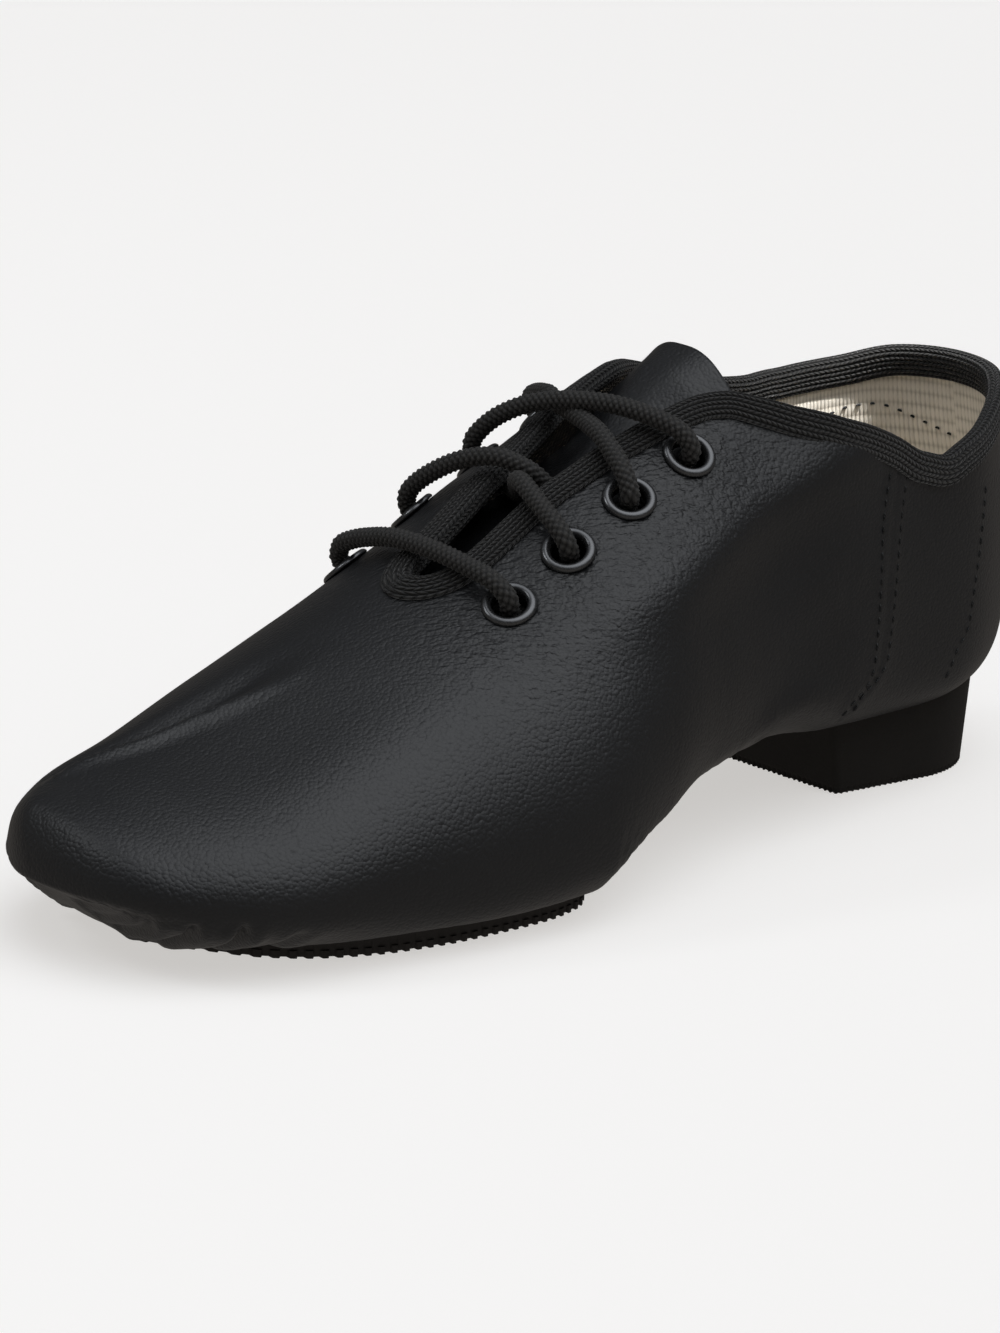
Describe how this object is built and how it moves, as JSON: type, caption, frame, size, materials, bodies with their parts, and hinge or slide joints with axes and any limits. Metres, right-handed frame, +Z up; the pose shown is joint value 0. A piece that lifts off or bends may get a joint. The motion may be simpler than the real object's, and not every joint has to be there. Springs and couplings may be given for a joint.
{
  "type": "jazz shoe",
  "caption": "Low black leather lace-up dance shoe with a split rubber sole, a low block heel, a hollow upper, a tape-bound collar and a soft tongue.",
  "frame": {"origin": "on the floor, under the middle of the shoe's box", "axes": "+Z up, +Y towards the heel, +X towards the lateral side of a left shoe"},
  "size_m": [0.0933, 0.25, 0.0975],
  "materials": {
    "upper_leather": "soft black leather with a fine pebble grain, semi-matt",
    "sole_rubber": "matt ribbed rubber",
    "heel_rubber": "matt brown-black rubber",
    "canvas_lining": "unbleached plain-weave canvas",
    "woven_tape": "ribbed woven tape",
    "eyelet_metal": "black enamel, satin",
    "braided_lace": "round braided cord"
  },
  "bodies": {
    "root": {"upper": "upper_leather", "tongue": "upper_leather", "forefoot_sole": "sole_rubber", "heel_block": "heel_rubber", "insole": "canvas_lining", "binding": "woven_tape", "eyelet_lateral_1": "eyelet_metal", "eyelet_lateral_2": "eyelet_metal", "eyelet_lateral_3": "eyelet_metal", "eyelet_lateral_4": "eyelet_metal", "eyelet_medial_1": "eyelet_metal", "eyelet_medial_2": "eyelet_metal", "eyelet_medial_3": "eyelet_metal", "eyelet_medial_4": "eyelet_metal", "lace_bar": "braided_lace", "lace_crossing_1": "braided_lace", "lace_crossing_2": "braided_lace"}
  },
  "joints": []
}
